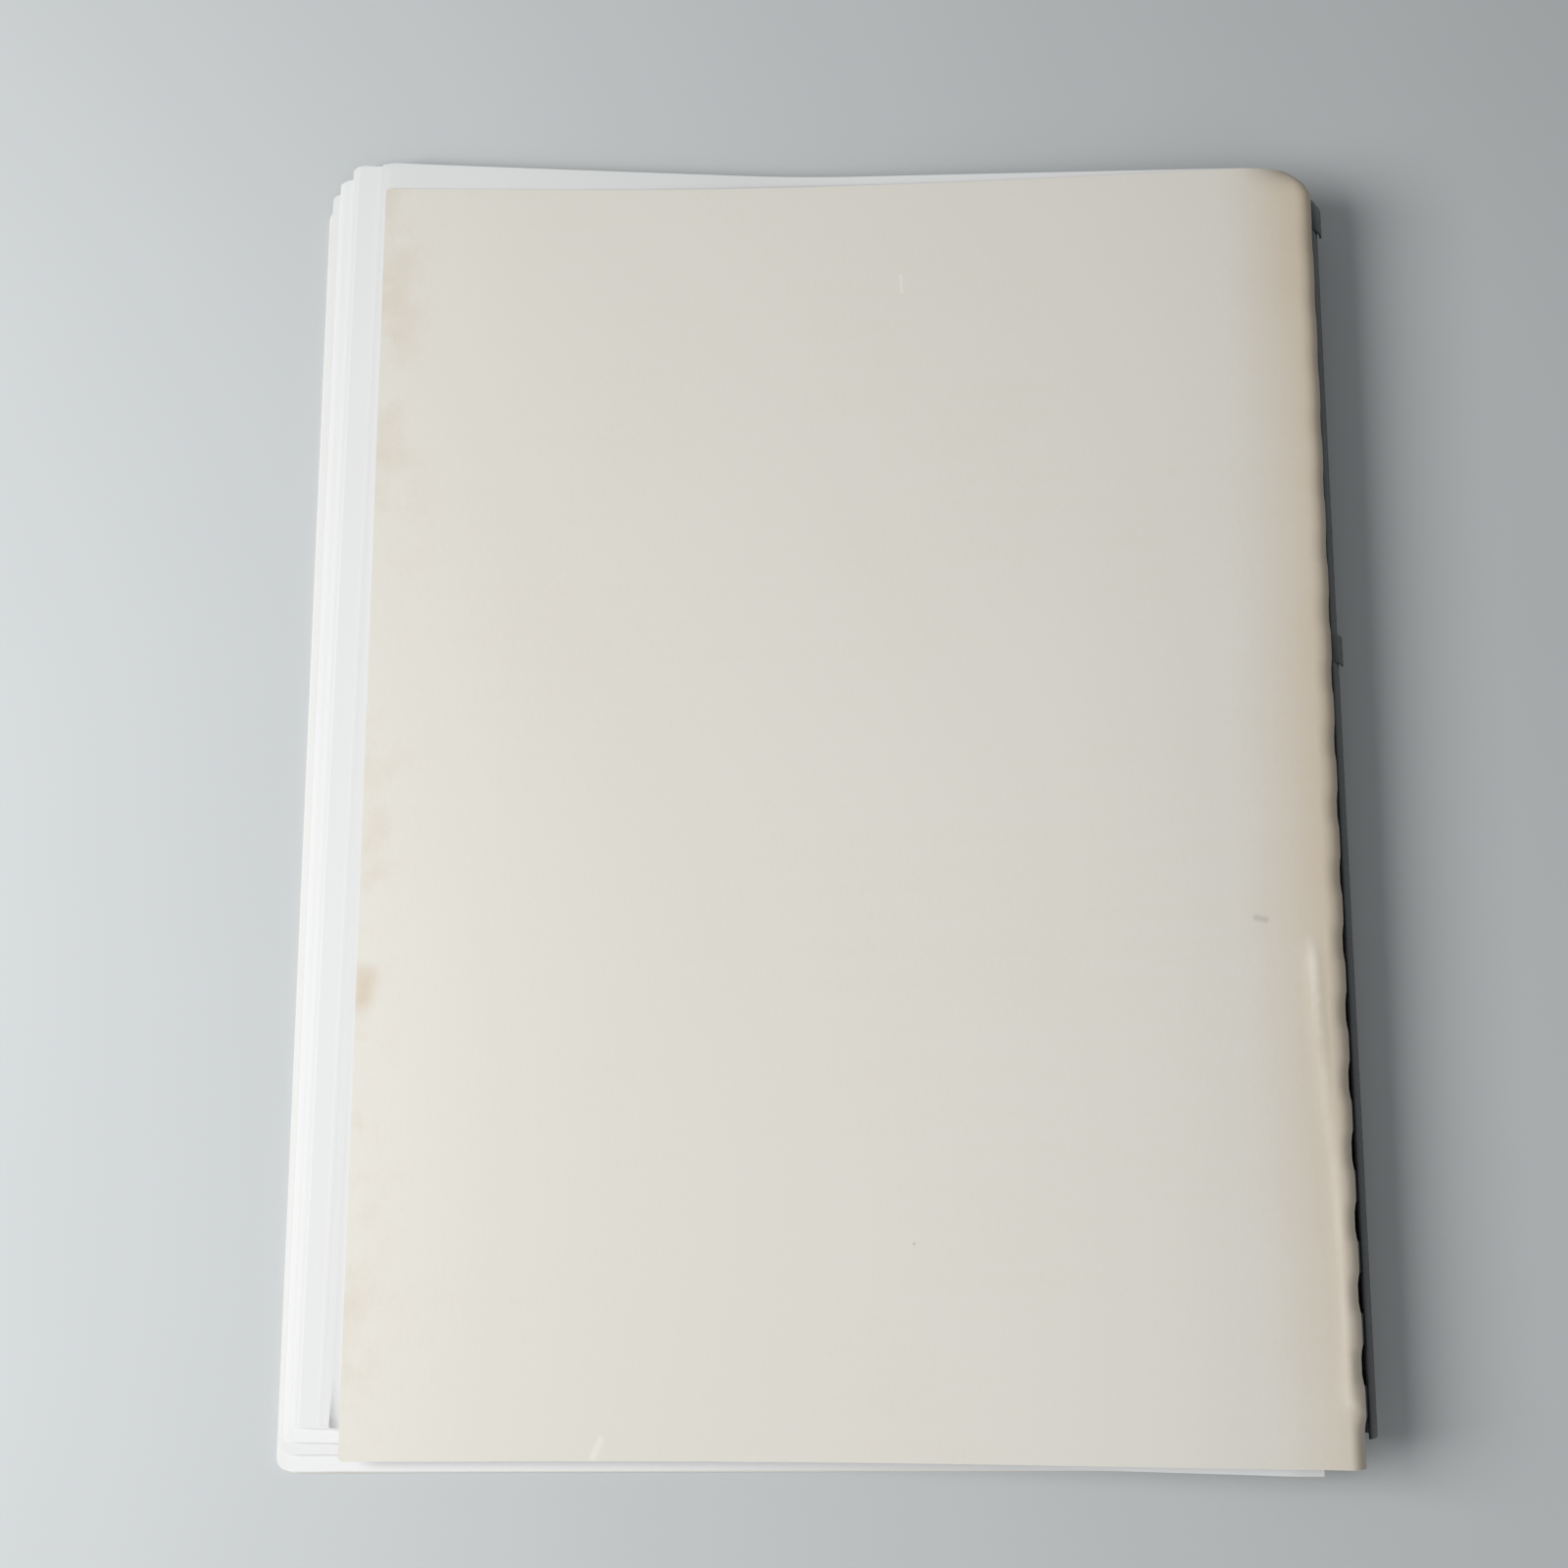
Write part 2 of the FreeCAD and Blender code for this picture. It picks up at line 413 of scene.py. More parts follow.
class CoverSettings(bpy.types.PropertyGroup):
    """Card covers."""
    thickness: FloatProperty(
        name="Thickness", description="Thickness of the card", unit="LENGTH", default=0.0003)
    head_lean: FloatProperty(
        name="Head lean", description="How far the fold leans out at the comb's head",
        unit="LENGTH", default=0.0009)
    foot_lean: FloatProperty(
        name="Foot lean", description="How far the fold leans out at the comb's foot",
        unit="LENGTH", default=-0.00005)
    head_slack: FloatProperty(
        name="Head slack", description="Sag of the card between fingers at the comb's head",
        unit="LENGTH", default=0.00012)
    foot_slack: FloatProperty(
        name="Foot slack", description="Sag of the card between fingers at the comb's foot",
        unit="LENGTH", default=0.00045)
    crease: FloatProperty(
        name="Crease", description="Height of the worn crease", unit="LENGTH", default=0.00027)
    color: FloatVectorProperty(
        name="Card", description="Colour of the card", subtype="COLOR",
        default=(0.675, 0.650, 0.590))
    # The aged colour also paints the shade on the cover's shoulder by the comb
    aged_and_shaded: FloatVectorProperty(
        name="Aged and shaded card", description="Colour where hands and light have tanned the card",
        subtype="COLOR", default=(0.58, 0.485, 0.365))
    # Colour of the painted light between the crease and the comb
    flank_light: FloatVectorProperty(
        name="Card with painted light", description="Colour between the crease and the comb", subtype="COLOR",
        default=(0.80, 0.70, 0.57))
    # Also the colour of the crease's painted highlight
    worn: FloatVectorProperty(
        name="Worn and highlit card", description="Colour along the crease and in nicks", subtype="COLOR",
        default=(0.86, 0.83, 0.76))
    speck: FloatVectorProperty(
        name="Specks", description="Colour of the specks", subtype="COLOR",
        default=(0.34, 0.31, 0.27))


class LeafSettings(bpy.types.PropertyGroup):
    """Paper leaves."""
    thickness: FloatProperty(
        name="Thickness", description="Thickness of the paper", unit="LENGTH", default=0.0001)
    uneven: FloatProperty(
        name="Uneven", description="How far the leaves' fore edges differ", unit="LENGTH",
        default=0.0008)
    color: FloatVectorProperty(
        name="Paper", description="Colour of the paper", subtype="COLOR",
        default=(0.72, 0.725, 0.72))
    handled: FloatVectorProperty(
        name="Handled paper", description="Colour along the handled edges", subtype="COLOR",
        default=(0.68, 0.66, 0.63))


class CombSettings(bpy.types.PropertyGroup):
    """Moulded comb."""
    radius: FloatProperty(
        name="Radius", description="Outside of the curl", unit="LENGTH", default=0.008)
    wall: FloatProperty(
        name="Wall", description="Thickness of the wall", unit="LENGTH", default=0.0005)
    pitch: FloatProperty(
        name="Pitch", description="Finger to finger", unit="LENGTH", default=0.0142875)
    fingers: IntProperty(name="Fingers", description="Number of fingers", default=19)
    finger_width: FloatProperty(
        name="Finger width", description="Along the comb", unit="LENGTH", default=0.0063)
    head_tail: FloatProperty(
        name="Head tail", description="Spine past the first finger", unit="LENGTH", default=0.0009)
    foot_tail: FloatProperty(
        name="Foot tail", description="Spine past the last finger", unit="LENGTH", default=0.0042)
    lip_start: FloatProperty(
        name="Lip start", description="Where the spine's lip starts, inside the strip",
        subtype="ANGLE", default=math.radians(27.0))
    lip_end: FloatProperty(
        name="Lip end", description="Where the spine's lip ends beside the cover",
        subtype="ANGLE", default=math.radians(51.0))
    edge: FloatProperty(
        name="Edge", description="Rounding of the moulded edges", unit="LENGTH", default=0.00012)
    color: FloatVectorProperty(
        name="Plastic", description="Colour of the plastic", subtype="COLOR",
        default=(0.026, 0.030, 0.036))
    dust: FloatVectorProperty(
        name="Dust", description="Colour of the dusty patches", subtype="COLOR",
        default=(0.10, 0.105, 0.11))


class StageSettings(bpy.types.PropertyGroup):
    """Camera, floor and light."""
    camera_place: FloatVectorProperty(
        name="Camera place", description="Where the camera stands", subtype="TRANSLATION",
        default=(-0.0152, -0.0743, 0.4263))
    camera_turn: FloatVectorProperty(
        name="Camera turn", description="How the camera is turned", subtype="EULER",
        default=(math.radians(10.0), math.radians(-0.8), 0.0))
    lens: FloatProperty(
        name="Lens", description="Focal length in millimetres", unit="CAMERA", default=45.0)
    floor: FloatVectorProperty(
        name="Floor", description="Colour of the floor", subtype="COLOR",
        default=(0.50, 0.52, 0.525))
    key_place: FloatVectorProperty(
        name="Key place", description="Where the key light stands", subtype="TRANSLATION",
        default=(-0.60, -0.08, 0.55))
    key_size: FloatProperty(
        name="Key size", description="Side of the key light", unit="LENGTH", default=0.45)
    key_power: FloatProperty(
        name="Key power", description="Power of the key light", unit="POWER", default=7.4)
    fill_place: FloatVectorProperty(
        name="Fill place", description="Where the fill light stands", subtype="TRANSLATION",
        default=(0.10, -0.60, 0.90))
    fill_size: FloatProperty(
        name="Fill size", description="Side of the fill light", unit="LENGTH", default=0.90)
    fill_power: FloatProperty(
        name="Fill power", description="Power of the fill light", unit="POWER", default=1.2)
    sky: FloatVectorProperty(
        name="Sky", description="Colour of the light from all sides", subtype="COLOR",
        default=(0.94, 0.97, 1.0))
    sky_strength: FloatProperty(
        name="Sky strength", description="Strength of the light from all sides", default=0.22)


def rgba(color, white=1.0):
    """Opaque colour, made brighter or darker."""
    return (color[0] * white, color[1] * white, color[2] * white, 1.0)


def crease_wear_and_highlight(finish, down):
    """Pale wear and painted highlight along the crease: its strength on the crest, 0 away from it and
    above its upper end.
    """
    worn = 0.0
    for first, last in zip(CREASE, CREASE[1:]):
        strength = (first.strength + last.strength) / 2
        worn = (strength * finish.streak(first[:2], last[:2], WORN_AND_HIGHLIGHT_RADIUS)).largest(worn)
    upper_end = -CREASE[0].y
    return worn * finish.ramp(down, upper_end, upper_end + CREASE_FADE)


def card_finish(cover, name):
    """Cream card: fine fibres, tan and painted shade towards the comb, a worn crease with a painted
    highlight, painted light between the crease and the comb, a few stains and specks.
    """
    finish = Finish(name + "_card")
    fibre = finish.noise(scale=900.0, detail=6.0, roughness=0.65, stretch=(1.0, 0.55, 1.0))
    cloud = finish.noise(scale=14.0, detail=3.0, roughness=0.55)
    blotch = finish.noise(scale=60.0, detail=4.0, roughness=0.6)
    rolled = finish.noise(scale=260.0, detail=3.0, roughness=0.5, stretch=(0.05, 1.0, 1.0))
    relief = finish.noise(scale=220.0, detail=4.0, roughness=0.6)
    x = finish.along("X")
    y = finish.along("Y")
    down = -1.0 * y
    # Near the comb the card turns tan: partly real tan, partly painted shade of the shoulder that turns
    # from the light
    tan = finish.ramp(x + TAN_AND_SHADE_RAGGED * cloud, TAN_AND_SHADE_START, TAN_AND_SHADE_END) * (TAN_AND_SHADE_MIDDLE + TAN_AND_SHADE_PER_METRE * y)
    stains = (1.0 - finish.ramp(x, STAIN_START, STAIN_END)) * finish.ramp(blotch, *STAIN_PATCHES)
    aged_and_shaded = tan + stains * STAIN_WEIGHT + finish.marks(BLOT)
    aged_and_shaded = aged_and_shaded + (cloud - NOISE_MIDDLE) * CLOUD_WEIGHT
    aged_and_shaded = aged_and_shaded + (fibre - NOISE_MIDDLE) * FIBRE_WEIGHT
    aged_and_shaded = aged_and_shaded + (rolled - NOISE_MIDDLE) * ROLLED_WEIGHT
    # Painted light between the crease and the comb, fading in down the comb
    flank_light = finish.marks(FLANK_LIGHT) * finish.ramp(down, *FLANK_LIGHT_FADE)
    # The crease's pale stripe is wear and a painted highlight; the nicks are real wear
    worn = crease_wear_and_highlight(finish, down)
    light = worn * finish.ramp(blotch, *WORN_AND_HIGHLIGHT_PATCHES) * WORN_AND_HIGHLIGHT_WEIGHT + finish.marks(*NICKS)
    tone = finish.mix(aged_and_shaded.clipped(), rgba(cover.color, COVERS[name].white), rgba(cover.aged_and_shaded))
    tone = finish.mix(flank_light, tone, rgba(cover.flank_light))
    tone = finish.mix(light.clipped(), tone, rgba(cover.worn))
    tone = finish.mix(finish.marks(*SPECKS).clipped(), tone, rgba(cover.speck))
    height = fibre * CARD_FIBRE_SHARE + relief * CARD_RELIEF_SHARE
    return finish.feed(
        Base_Color=tone, Roughness=CARD.roughness + CARD.grain * fibre - WORN_SHINE * worn,
        Specular_IOR_Level=CARD.specular, Normal=finish.bump(height, CARD))


def paper_finish(leaf, name):
    """White office paper, a little grey and worn along its fore edge."""
    finish = Finish(name + "_paper")
    fibre = finish.noise(scale=1400.0, detail=5.0, roughness=0.6)
    cloud = finish.noise(scale=25.0, detail=3.0, roughness=0.5)
    inside = finish.ramp(finish.along("X") + HANDLED_RAGGED * cloud, HANDLED_START, HANDLED_END)
    handled = (1.0 - inside) * HANDLED_WEIGHT + (cloud - PAPER_CLOUD_MIDDLE) * PAPER_CLOUD_WEIGHT
    # Each packet's white lightens or darkens its paper: painted shade between the packets
    tone = finish.mix(handled.clipped(), rgba(leaf.color, PACKETS[name].white), rgba(leaf.handled))
    return finish.feed(
        Base_Color=tone, Roughness=PAPER.roughness + PAPER.grain * fibre,
        Specular_IOR_Level=PAPER.specular, Normal=finish.bump(fibre, PAPER))


def plastic_finish(comb):
    """Black moulded plastic with a fine grain, dusty in patches."""
    finish = Finish("comb_plastic")
    grain = finish.noise(scale=2600.0, detail=3.0, roughness=0.5)
    patches = finish.noise(scale=160.0, detail=5.0, roughness=0.6)
    dust = finish.ramp(patches, *DUST_PATCHES) * DUST_WEIGHT
    tone = finish.mix(dust, rgba(comb.color), rgba(comb.dust))
    return finish.feed(
        Base_Color=tone, Roughness=PLASTIC.roughness + DUST_ROUGHNESS * dust + PLASTIC.grain * grain,
        Specular_IOR_Level=PLASTIC.specular, Normal=finish.bump(grain, PLASTIC))


def floor_finish(stage):
    """Plain pale floor with a hardly visible cloud."""
    finish = Finish("floor")
    cloud = finish.noise(scale=7.0, detail=3.0, roughness=0.5)
    tone = finish.mix(cloud, rgba(stage.floor), rgba(stage.floor, FLOOR_CLOUD))
    return finish.feed(Base_Color=tone, Roughness=FLOOR_ROUGHNESS)


def set_finish(obj, material):
    obj.data.materials.clear()
    obj.data.materials.append(material)


def deselect():
    if bpy.context.object and bpy.context.object.mode != "OBJECT":
        bpy.ops.object.mode_set(mode="OBJECT")
    bpy.ops.object.select_all(action="DESELECT")


def activate(obj):
    """Makes a piece the only one that is selected, and the active one."""
    deselect()
    obj.select_set(True)
    bpy.context.view_layer.objects.active = obj


def clip(value):
    return min(max(value, 0.0), 1.0)


def smooth(value):
    """0 up to 0, 1 from 1 on, smooth between."""
    value = clip(value)
    return value * value * (3.0 - 2.0 * value)


def between(first, last, steps):
    """Evenly spaced values, with both ends."""
    return [first + (last - first) * step / steps for step in range(steps + 1)]


def finger_places():
    """Middles of the fingers along the comb, from its head."""
    comb = bpy.context.scene.book_comb
    first = comb.pitch * (comb.fingers - 1) / 2
    return [first - comb.pitch * index for index in range(comb.fingers)]


class SheetPath:
    """Middle line of a sheet in the XZ plane: bed, climb, fold and the run into the curl."""

    def __init__(self, way, place, level, bed_z):
        sheet = bpy.context.scene.book_sheet
        comb = bpy.context.scene.book_comb
        angle = math.radians(way.slot_angle) - sheet.angle_step * place
        heading = math.radians(way.heading)
        heading = Vector((math.cos(heading), math.sin(heading)))
        curl = comb.radius - comb.wall / 2
        slot = Vector((AXIS.x, AXIS.z)) + curl * Vector((math.cos(angle), math.sin(angle)))
        rise = sheet.low_rise + (sheet.high_rise - sheet.low_rise) * level
        last_run = way.last_run + way.more_run * place
        fold_trim = min(sheet.fold_trim, sheet.fold_share * last_run)
        bend = Vector((AXIS.x - comb.radius - rise, bed_z))
        fold = slot - heading * last_run
        climb = (fold - bend).normalized()
        level_run = Vector((1.0, 0.0))
        self.pieces = []
        self.length = 0.0
        self.add_line(bend - level_run * sheet.width, bend - level_run * way.bed_trim)
        self.bend_start = self.length
        self.add_bend(bend, level_run, climb, way.bed_trim)
        self.bend_end = self.length
        self.add_line(bend + climb * way.bed_trim, fold - climb * fold_trim)
        self.fold_start = self.length
        self.add_bend(fold, climb, heading, fold_trim)
        self.fold_end = self.length
        self.slot_at = self.length + last_run - fold_trim
        self.end = self.slot_at + sheet.edge_run
        self.add_line(fold + heading * fold_trim, slot + heading * sheet.edge_run)
        self.start = self.end - sheet.width

    def add_line(self, first, last):
        run = last - first
        self.pieces.append((self.length, first, run.normalized(), 0.0))
        self.length += run.length

    def add_bend(self, corner, before, after, trim):
        turn = math.atan2(before.x * after.y - before.y * after.x, before.dot(after))
        radius = trim / math.tan(abs(turn) / 2)
        curve = math.copysign(1.0 / radius, turn)
        self.pieces.append((self.length, corner - before * trim, before, curve))
        self.length += radius * abs(turn)

    def at(self, distance):
        """Point and direction at a distance along the line."""
        begin, first, direction, curve = [piece for piece in self.pieces if piece[0] <= distance][-1]
        run = distance - begin
        if not curve:
            return first + direction * run, direction
        turn = curve * run
        left = Vector((-direction.y, direction.x))
        point = first + (direction * math.sin(turn) + left * (1.0 - math.cos(turn))) / curve
        return point, direction * math.cos(turn) + left * math.sin(turn)

    def lifted(self, distance, lift):
        """Point at a distance along the line, lifted square to it."""
        point, direction = self.at(distance)
        return point + Vector((-direction.y, direction.x)) * lift

    def columns(self, climb_steps, fold_steps):
        """Distances of the grid's columns, with the slots' edges among them."""
        bed = self.bend_start - self.start
        climb = self.fold_start - self.bend_end
        made = [self.start + bed * share ** FORE_PACKING for share in between(0.0, 1.0, BED_COLUMNS)]
        made += between(self.bend_start, self.bend_end, BEND_COLUMNS)
        made += [self.bend_end + climb * (1.0 - (1.0 - share) ** FOLD_PACKING)
                 for share in between(0.0, 1.0, climb_steps)]
        made += between(self.fold_start, self.fold_end, fold_steps) + [self.end]
        half_slot = bpy.context.scene.book_sheet.slot_depth / 2
        slot_edges = [self.slot_at - half_slot, self.slot_at + half_slot]
        apart = half_slot * COLUMN_CLEARANCE
        made = [column for column in made if all(abs(column - edge) > apart for edge in slot_edges)]
        made = sorted(made + slot_edges)
        following = made[1:] + [math.inf]
        return [column for column, after in zip(made, following) if after - column > apart / 2]


def row_places(low, high, offsets, end_steps):
    """Places of the grid's rows along the comb: the same offsets at each finger, and the two ends."""
    rows = [finger + offset for finger in finger_places() for offset in offsets]
    rows = [row for row in rows if low + ROW_CLEARANCE < row < high - ROW_CLEARANCE]
    rows += between(low, min(rows), end_steps)[:-1] + between(high, max(rows), end_steps)[:-1]
    return sorted(rows)


def in_slot(path, distance, y):
    sheet = bpy.context.scene.book_sheet
    near = min(abs(y - finger) for finger in finger_places())
    return abs(distance - path.slot_at) < sheet.slot_depth / 2 and near < sheet.slot_width / 2


def drape(name, columns, rows, path, shape, thickness):
    """A grid over the columns and rows, laid by shape, with its slots cut out and then its thickness."""
    across = len(columns) - 1
    along = len(rows) - 1
    deselect()
    bpy.ops.mesh.primitive_grid_add(x_subdivisions=across, y_subdivisions=along, size=1.0)
    obj = bpy.context.object
    obj.name = name
    slots = []
    for face in obj.data.polygons:
        column = int((face.center.x + 0.5) * across)
        row = int((face.center.y + 0.5) * along)
        distance = (columns[column] + columns[column + 1]) / 2
        y = (rows[row] + rows[row + 1]) / 2
        slots.append(in_slot(path, distance, y))
    for vertex in obj.data.vertices:
        column = round((vertex.co.x + 0.5) * across)
        row = round((vertex.co.y + 0.5) * along)
        vertex.co = shape(columns[column], rows[row])
    activate(obj)
    bpy.ops.object.mode_set(mode="EDIT")
    bpy.ops.mesh.select_mode(type="FACE")
    bpy.ops.mesh.select_all(action="DESELECT")
    bpy.ops.object.mode_set(mode="OBJECT")
    for face, slot in zip(obj.data.polygons, slots):
        face.select = slot
    bpy.ops.object.mode_set(mode="EDIT")
    bpy.ops.mesh.delete(type="FACE")
    bpy.ops.object.mode_set(mode="OBJECT")
    solid = obj.modifiers.new("thickness", "SOLIDIFY")
    solid.thickness = thickness
    solid.offset = 0.0
    bpy.ops.object.modifier_apply(modifier=solid.name)
    bpy.ops.object.shade_smooth_by_angle(angle=math.radians(SHEET_CREASE_ANGLE))
    return obj


def fore_corner(path, distance, y, low, high, radius):
    """How far a worn corner's round moves a point near the fore edge in."""
    inside = radius - min(y - low.y, high.y - y)
    if inside <= 0.0:
        return 0.0
    round_in = radius - math.sqrt(max(0.0, radius * radius - inside * inside))
    return round_in * max(0.0, 1.0 - (distance - path.start) / CORNER_REACH)


def curled_corner(across, along):
    """Lift of the uppermost leaf's lower fore corner, which is creased along a slant and curls up."""
    slant = Vector((CURL_LENGTH, CURL_WIDTH)).normalized()
    inside = CURL_WIDTH * slant.x - across * slant.x - along * slant.y
    return max(0.0, inside) * CURL_SLOPE


def soft_wave(path, distance, y, level):
    """Height of the sheets' shared waves, which grow from the lowest sheet up and end before the fold."""
    point, _ = path.at(distance)
    hills = noise.noise(Vector((point.x * WAVES_ACROSS, y * WAVES_ALONG, WAVE_SLICE)))
    fade = smooth((path.fold_start - WAVE_STOP - distance) / WAVE_FADE)
    return level * bpy.context.scene.book_sheet.wave * (0.5 + 0.5 * hills) * fade


def head_droop(path, distance, y, level):
    """Fall and draw-in of the corner past the comb's first finger, largest on the uppermost sheet."""
    first_edge = finger_places()[0] + bpy.context.scene.book_comb.finger_width / 2
    past = max(0.0, (y - first_edge) / DROOP_REACH) ** 2
    near = clip((distance - path.fold_start + DROOP_START) / DROOP_RUN) ** DROOP_POWER
    share = LOWEST_DROOP + (1.0 - LOWEST_DROOP) * level
    fall = bpy.context.scene.book_sheet.droop * share * past * near
    return Vector((-DRAW_IN * fall * near, -fall))


def over_fingers(path, distance, y):
    """How far the back cover's fold stands out: it leans out at the head and sags between fingers."""
    cover = bpy.context.scene.book_cover
    fingers = finger_places()
    off = min(abs(y - finger) for finger in fingers)
    on_finger = smooth((FINGER_REACH - off) / FINGER_BLEND)
    to_foot = smooth((fingers[0] - y) / (fingers[0] - fingers[-1]))
    lean = cover.head_lean + (cover.foot_lean - cover.head_lean) * to_foot
    slack = cover.head_slack + (cover.foot_slack - cover.head_slack) * to_foot
    return (lean - slack * (1.0 - on_finger)) * smooth((distance - path.fold_start) / LEAN_RUN)


def crease_rise(path, distance, y):
    """Height of the back cover's worn crease at a place, 0 away from it."""
    point, _ = path.at(distance)
    place = Vector((point.x, y))
    crest = 0.0
    for first, last in zip(CREASE, CREASE[1:]):
        start = Vector(first[:2])
        run = Vector(last[:2]) - start
        share = clip((place - start).dot(run) / run.length_squared)
        off = (place - start - run * share).length
        strength = first.strength + (last.strength - first.strength) * share
        crest = max(crest, strength * math.exp(-(off / CREASE_WIDTH) ** 2))
    fade = smooth((CREASE[0].y - y) / CREASE_FADE) * smooth((path.fold_end - distance) / CREASE_STOP)
    return bpy.context.scene.book_cover.crease * crest * fade


def keep(obj, node, body, material):
    """Gives a piece its finish, and puts it in the place of a CAD node."""
    set_finish(obj, material)
    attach(obj, body)
    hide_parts(node)


class BOOK_OT_back_cover(bpy.types.Operator):
    """Card back cover, draped over the comb and bumped by its fingers"""
    bl_idname = "book.back_cover"
    bl_label = "Back cover"

    def execute(self, context):
        cover = context.scene.book_cover
        way = COVERS["back_cover"]
        low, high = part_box("back_cover")
        path = SheetPath(way, 0, 1.0, low.z + cover.thickness / 2)
        columns = path.columns(*BACK_COLUMNS)
        rows = row_places(low.y, high.y, BACK_ROWS, BACK_END_ROWS)

        def lay(distance, y):
            distance += fore_corner(path, distance, y, low, high, way.corner)
            lift = over_fingers(path, distance, y) + soft_wave(path, distance, y, 1.0)
            lift += crease_rise(path, distance, y)
            point = path.lifted(distance, lift) + head_droop(path, distance, y, 1.0)
            return Vector((point.x, y, point.y))

        card = drape("back_cover_card", columns, rows, path, lay, cover.thickness)
        keep(card, "back_cover", "back_cover", card_finish(cover, "back_cover"))
        return {"FINISHED"}


class BOOK_OT_front_cover(bpy.types.Operator):
    """Card front cover, which lies on the table"""
    bl_idname = "book.front_cover"
    bl_label = "Front cover"

    def execute(self, context):
        cover = context.scene.book_cover
        way = COVERS["front_cover"]
        low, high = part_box("front_cover")
        path = SheetPath(way, 0, 0.0, low.z + cover.thickness / 2)
        columns = path.columns(*PLAIN_COLUMNS)
        rows = row_places(low.y, high.y, PLAIN_ROWS, PLAIN_END_ROWS)

        def lay(distance, y):
            distance += fore_corner(path, distance, y, low, high, way.corner)
            point = path.lifted(distance, 0.0) + head_droop(path, distance, y, 0.0)
            return Vector((point.x, y, point.y))

        card = drape("front_cover_card", columns, rows, path, lay, cover.thickness)
        keep(card, "front_cover", "front_cover", card_finish(cover, "front_cover"))
        return {"FINISHED"}


class BOOK_OT_leaves(bpy.types.Operator):
    """Paper leaves, in five packets that lie a little askew, with worn corners"""
    bl_idname = "book.leaves"
    bl_label = "Leaves"

    def execute(self, context):
        finishes = {body: paper_finish(context.scene.book_leaf, body) for body in PACKETS}
        chance = random.Random(CHANCE_SEED)
        for number, name in enumerate(LEAVES):
            body = list(PACKETS)[number // LEAVES_PER_PACKET]
            paper = self.leaf(name, number, PACKETS[body], chance)
            keep(paper, name, body, finishes[body])
        return {"FINISHED"}

    def leaf(self, name, number, way, chance):
        leaf = bpy.context.scene.book_leaf
        low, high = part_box(name)
        level = (number + 1) / (len(LEAVES) + 1)
        path = SheetPath(way, number % LEAVES_PER_PACKET, level, low.z + leaf.thickness / 2)
        columns = path.columns(*PLAIN_COLUMNS)
        rows = row_places(low.y, high.y, PLAIN_ROWS, PLAIN_END_ROWS)
        fore = chance.uniform(0.0, leaf.uneven)
        corner = way.corner * chance.uniform(*CORNER_SPREAD)
        skew_edge = finger_places()[0] + SKEW_START

        def lay(distance, y):
            share = (distance - path.start) / (path.end - path.start)
            distance += fore * max(0.0, 1.0 - share / UNEVEN_SHARE)
            distance += fore_corner(path, distance, y, low, high, corner)
            lift = soft_wave(path, distance, y, level)
            if number + 1 == len(LEAVES):
                lift += curled_corner(distance - path.start, y - low.y)
            end = high.y if y > 0.0 else -low.y
            past = max(0.0, (abs(y) - skew_edge) / (end - skew_edge))
            moved = y - way.skew * past * share
            point = path.lifted(distance, lift) + head_droop(path, distance, moved, level)
            return Vector((point.x + way.tilt * y * (1.0 - smooth(share)), moved, point.y))

        return drape(name + "_paper", columns, rows, path, lay, leaf.thickness)


class BOOK_OT_comb(bpy.types.Operator):
    """Moulded comb with rounded edges and a lip along its spine"""
    bl_idname = "book.comb"
    bl_label = "Comb"

    def execute(self, context):
        comb = context.scene.book_comb
        obj = frame["nodes"]["comb"].copy()
        obj.data = frame["nodes"]["comb"].data.copy()
        obj.name = "comb_moulding"
        obj.parent = None
        context.scene.collection.objects.link(obj)
        activate(obj)
        bpy.ops.object.mode_set(mode="EDIT")
        bpy.ops.mesh.select_all(action="SELECT")
        bpy.ops.mesh.remove_doubles(threshold=MERGE_DISTANCE)
        bpy.ops.mesh.dissolve_limited(angle_limit=math.radians(FLAT_ANGLE))
        bpy.ops.object.mode_set(mode="OBJECT")
        self.round_edges(obj, comb.edge)
        lip = self.lip(comb)
        activate(obj)
        lip.select_set(True)
        bpy.ops.object.join()
        keep(obj, "comb", "comb", plastic_finish(comb))
        return {"FINISHED"}

    def round_edges(self, obj, width):
        activate(obj)
        bevel = obj.modifiers.new("edge", "BEVEL")
        bevel.width = width
        bevel.segments = BEVEL_SEGMENTS
        bevel.limit_method = "ANGLE"
        bevel.angle_limit = math.radians(BEVEL_ANGLE)
        bpy.ops.object.modifier_apply(modifier=bevel.name)
        bpy.ops.object.shade_smooth_by_angle(angle=math.radians(COMB_CREASE_ANGLE))

    def lip(self, comb):
        """Upper margin of the spine, which the tucked fingers pass under."""
        fingers = finger_places()
        head = fingers[0] + comb.finger_width / 2 + comb.head_tail
        foot = fingers[-1] - comb.finger_width / 2 - comb.foot_tail
        deselect()
        bpy.ops.mesh.primitive_grid_add(x_subdivisions=LIP_GRID[0], y_subdivisions=LIP_GRID[1], size=1.0)
        obj = bpy.context.object
        for vertex in obj.data.vertices:
            angle = comb.lip_end + (comb.lip_start - comb.lip_end) * (vertex.co.x + 0.5)
            y = foot + (head - foot) * (vertex.co.y + 0.5)
            out = comb.radius * Vector((math.cos(angle), 0.0, math.sin(angle)))
            vertex.co = AXIS + out
            vertex.co.y = y
        activate(obj)
        solid = obj.modifiers.new("wall", "SOLIDIFY")
        solid.thickness = comb.wall
        solid.offset = -1.0
        bpy.ops.object.modifier_apply(modifier=solid.name)
        self.round_edges(obj, comb.edge)
        return obj


